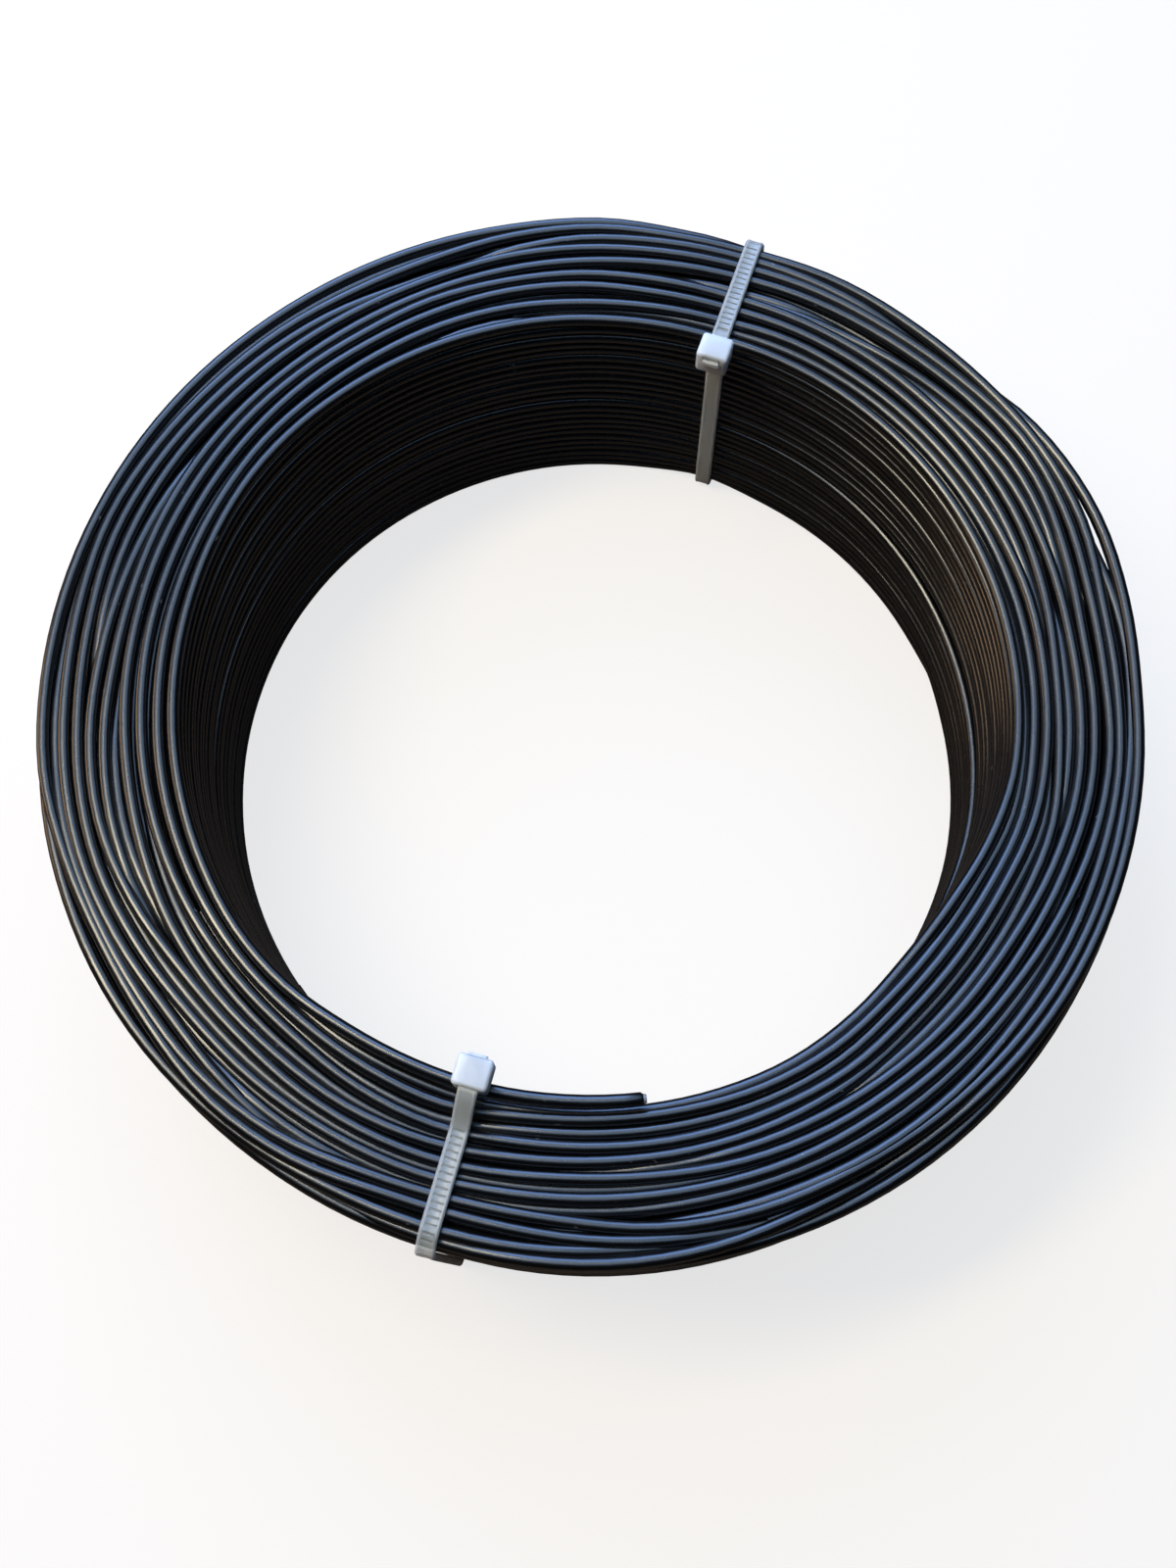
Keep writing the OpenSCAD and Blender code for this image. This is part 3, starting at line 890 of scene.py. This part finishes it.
ripples = stretched_noise(strand_tree, along, (1500, 260, 260), 1.0)
bump = add(strand_tree, "ShaderNodeBump", None, Strength=0.01, Distance=0.0001, Height=ripples)
strand_tree.links.new(bump.outputs[0], strand_shader.inputs["Normal"])
strand_shader.inputs["Specular IOR Level"].default_value = 0.9

rubs = stretched_noise(strand_tree, along, (140, 420, 420), 2.0)
dullness = add(strand_tree, "ShaderNodeMapRange", None, i0=rubs, i1=0.3, i2=0.7, i3=0.24, i4=0.31)
strand_tree.links.new(dullness.outputs[0], strand_shader.inputs["Roughness"])

dust = stretched_noise(strand_tree, along, (900, 1500, 1500), 0.0)
speck = add(strand_tree, "ShaderNodeMapRange", None, i0=dust, i1=0.84, i2=0.9, i3=0.0, i4=1.0)
shade = two_tones(strand_tree, speck.outputs[0], DEEP_BLACK, DUST_GREY)
strand_tree.links.new(shade, strand_shader.inputs["Base Color"])
for piece in (top_turns, bore_turns, outer_turns, under_turns, hidden_turns):
    piece.data.materials.append(strand_finish)
print("Strand finish:", len(strand_tree.nodes), "nodes")

# %% [markdown]
# Where the free end was snipped off, the cut face catches a glint. A pale grey, mottled by noise, paints
# that highlight into its colour. Its tip is the second spline of the bore's turns, so it takes the second
# material of that piece.

# %% Painted highlight on the cut
# These two greys are a painted highlight: they paint the glint on the cut face into the colour.
CUT_GLINT_DARK, CUT_GLINT_PALE = (0.12, 0.12, 0.13, 1), (0.42, 0.42, 0.43, 1)
cut_glint_finish, cut_tree, cut_shader = finish("cut_glint_filament")
cut_place = add(cut_tree, "ShaderNodeTexCoord").outputs["Object"]
glint_mottle = stretched_noise(cut_tree, cut_place, (2500, 2500, 2500), 1.0)
cut_tree.links.new(two_tones(cut_tree, glint_mottle, CUT_GLINT_DARK, CUT_GLINT_PALE), cut_shader.inputs["Base Color"])
bore_turns.data.materials.append(cut_glint_finish)
bore_turns.data.splines[1].material_index = 1
print("Pale cut:", len(cut_tree.nodes), "nodes")

# %% [markdown]
# ## The ties' finish
# Natural nylon is milky: light goes in, scatters and comes out softer. The thick head is nearly white, and
# the strap that lies over the top end is greyer, because the black strand shows through it. The stretches
# along the walls lie in shade, and they get the head's white as painted light. The thickness number
# that the moulding carries at each point sets the colour. Subsurface scattering gives the milkiness, and
# slow noise in the roughness breaks the shine.

# %% Milky nylon
THIN_DARK, THIN_PALE = (0.36, 0.37, 0.35, 1), (0.45, 0.46, 0.43, 1)
# The white is the head's own colour, and on the wall stretches it is painted light that lifts them out of
# shade.
HEAD_WHITE_AND_WALL_LIFT = (0.9, 0.955, 0.93, 1)
nylon, nylon_tree, nylon_shader = finish("milky_nylon")
nylon_shader.inputs["Subsurface Weight"].default_value = 0.8
nylon_shader.inputs["Subsurface Radius"].default_value = (0.9, 0.95, 1.0)
nylon_shader.inputs["Subsurface Scale"].default_value = 0.003
nylon_shader.inputs["Transmission Weight"].default_value = 0.03
nylon_shader.inputs["IOR"].default_value = 1.53
nylon_place = add(nylon_tree, "ShaderNodeTexCoord").outputs["Object"]
cloud = stretched_noise(nylon_tree, nylon_place, (320, 320, 320), 3.0)
gloss = add(nylon_tree, "ShaderNodeMapRange", None, i0=cloud, i1=0.3, i2=0.7, i3=0.3, i4=0.45)
nylon_tree.links.new(gloss.outputs[0], nylon_shader.inputs["Roughness"])
thin = two_tones(nylon_tree, cloud, THIN_DARK, THIN_PALE)
thick_or_wall_lift = add(nylon_tree, "ShaderNodeAttribute", {"attribute_name": "thickness"}).outputs["Fac"]
milk_and_wall_lift = two_tones(nylon_tree, thick_or_wall_lift, thin, HEAD_WHITE_AND_WALL_LIFT)
nylon_tree.links.new(milk_and_wall_lift, nylon_shader.inputs["Base Color"])
for piece in ties.values():
    piece.data.materials.append(nylon)
print("Nylon:", len(nylon_tree.nodes), "nodes")

# %% [markdown]
# ## Floor
# The floor is a wide pale sheet. Seen by the camera it is nearly white, and it keeps the coil's shadow. The
# strand's gloss sees only a trace of that white, and light that bounces off the floor on to the coil finds
# it darker, as a table would be, so the bore stays as dark as it is in the photo.

# %% Floor
FLOOR_HALF, FLOOR_DROP = 3.0, 0.00005
floor_mesh = bmesh.new()
bmesh.ops.create_grid(floor_mesh, x_segments=1, y_segments=1, size=FLOOR_HALF)
bmesh.ops.translate(floor_mesh, verts=floor_mesh.verts, vec=(0, 0, -FLOOR_DROP))
floor_data = bpy.data.meshes.new("floor")
floor_mesh.to_mesh(floor_data)
floor_mesh.free()
floor = bpy.data.objects.new("floor", floor_data)
scene.collection.objects.link(floor)
print("Floor:", tuple(round(side, 2) for side in floor.dimensions))

# %% Paper of the floor
BOUNCE_TONE, PAPER_TONE = (0.1, 0.066, 0.042, 1), (0.28, 0.235, 0.185, 1)
GLOSS_SHARE, PAPER_GLOW = 0.03, 0.74
paper, paper_tree, paper_shader = finish("pale_paper")
seen = add(paper_tree, "ShaderNodeLightPath")
mirrored = add(paper_tree, "ShaderNodeMath", {"operation": "MULTIPLY"}, i0=seen.outputs["Is Glossy Ray"],
               i1=GLOSS_SHARE)
shown = add(paper_tree, "ShaderNodeMath", {"operation": "MAXIMUM"}, i0=seen.outputs["Is Camera Ray"],
            i1=mirrored.outputs[0])
shown = add(paper_tree, "ShaderNodeMath", {"operation": "MAXIMUM"}, i0=shown.outputs[0],
            i1=seen.outputs["Is Transmission Ray"])
tone = two_tones(paper_tree, shown.outputs[0], BOUNCE_TONE, PAPER_TONE)
paper_tree.links.new(tone, paper_shader.inputs["Base Color"])
paper_shader.inputs["Roughness"].default_value = 0.9
paper_shader.inputs["Specular IOR Level"].default_value = 0.1
paper_shader.inputs["Emission Color"].default_value = (1, 1, 1, 1)
backing = add(paper_tree, "ShaderNodeMath", {"operation": "MULTIPLY"}, i0=shown.outputs[0], i1=PAPER_GLOW)
paper_tree.links.new(backing.outputs[0], paper_shader.inputs["Emission Strength"])
floor.data.materials.append(paper)
print("Paper:", len(paper_tree.nodes), "nodes")

# %% [markdown]
# ## Light
# Four soft sources make the photo's highlights. A wide pale blue one hangs over the coil and draws a line
# along every turn. A bluer one stands behind the coil, as a window would, and brightens the turns at the
# back and at the front. A long narrow warm one, high on the left and turned to lie across the turns, draws
# the pale lines at the lower left and the upper right. A last one, low on the left and also warm, reaches
# the right-hand wall of the bore over the rim.

# %% Lamps
LAMP_TARGET = Vector((0, 0, 0.02))


def softbox(name, place, width, watts, colour, length=None, roll=0):
    lamp = bpy.data.lights.new(name, "AREA")
    lamp.shape = "ELLIPSE"
    lamp.size = width
    lamp.size_y = length or width
    lamp.energy = watts
    lamp.color = colour
    holder = bpy.data.objects.new(name, lamp)
    holder.location = place
    holder.rotation_mode = "QUATERNION"
    aimed = (LAMP_TARGET - Vector(place)).to_track_quat("-Z", "Y")
    holder.rotation_quaternion = aimed @ Quaternion((0, 0, 1), math.radians(roll))
    scene.collection.objects.link(holder)
    return holder


softbox("wide_overhead", (-0.05, 0.2, 0.5), 0.9, 3.6, (0.44, 0.66, 1.0))
softbox("window_behind", (-0.22, 1.0, 0.72), 1.0, 12.5, (0.24, 0.44, 1.0))
softbox("warm_left", (-0.25, 0.055, 0.565), 0.1, 1.95, (1.0, 0.86, 0.58), length=0.42, roll=43)
softbox("low_left", (-1.15, 0.27, 0.3), 0.6, 2.4, (1.0, 0.66, 0.4), length=0.4)
print("Lamps:", [light.name for light in bpy.data.lights])

# %% [markdown]
# The room itself is nearly dark, so it adds no haze to the black plastic. Only the camera sees it as white.

# %% World
ROOM_DARK, ROOM_WHITE = (0.004, 0.004, 0.004, 1), (0.96, 0.96, 0.96, 1)
world = bpy.data.worlds.new("room")
world.use_nodes = True
world_tree = world.node_tree
sky = add(world_tree, "ShaderNodeLightPath")
room = world_tree.nodes["Background"]
view_tone = two_tones(world_tree, sky.outputs["Is Camera Ray"], ROOM_DARK, ROOM_WHITE)
world_tree.links.new(view_tone, room.inputs["Color"])
scene.world = world
print("World:", len(world_tree.nodes), "nodes")
